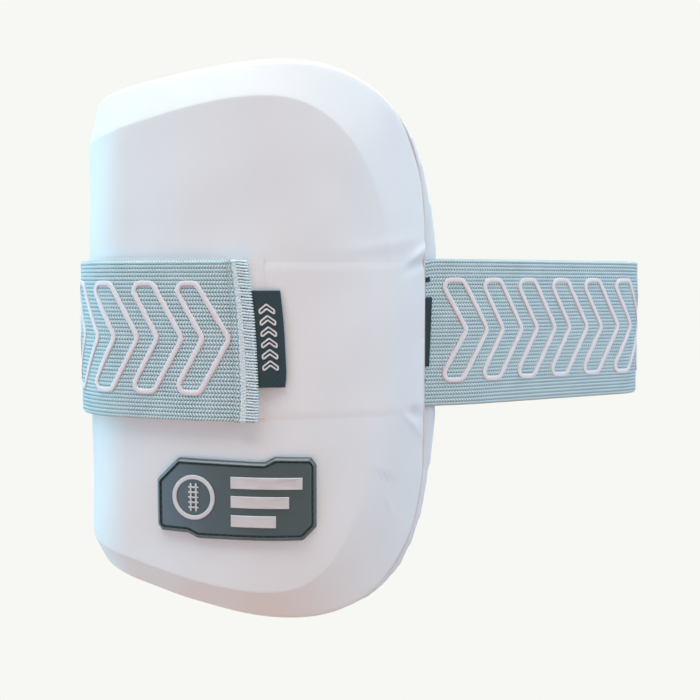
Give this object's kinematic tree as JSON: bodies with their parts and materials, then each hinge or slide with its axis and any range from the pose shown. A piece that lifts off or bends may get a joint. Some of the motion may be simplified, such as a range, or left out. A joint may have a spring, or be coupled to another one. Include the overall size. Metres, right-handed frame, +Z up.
{
  "type": "cricket chest guard",
  "caption": "Curved white foam chest pad with a bevelled border, held on by a wide ribbed elastic strap that goes round the back and closes on the front with hook tape.",
  "frame": {"origin": "on the pad's back face, behind the middle of its flat panel, where the chest sits", "axes": "+Z up as worn, the flat panel faces -Y, the wearer is on the +Y side, and +X is towards the pad's seam edge"},
  "size_m": [0.2698, 0.2168, 0.2624],
  "materials": {
    "pad_shell": "smooth satin stretch fabric over moulded foam",
    "pad_cushion": "soft matt knit over foam",
    "loop_fabric": "brushed loop fabric",
    "elastic": "ribbed woven elastic with a printed pattern",
    "hook_tape": "hook tape",
    "woven_tab": "tight woven label tape",
    "badge_rubber": "matt moulded rubber"
  },
  "bodies": {
    "root": {"pad_front": "pad_shell", "pad_back": "pad_cushion", "loop_panel": "loop_fabric", "strap": "elastic", "hook_tape": "hook_tape", "pull_tab": "woven_tab", "badge": "badge_rubber", "root_tab": "woven_tab"}
  },
  "joints": []
}
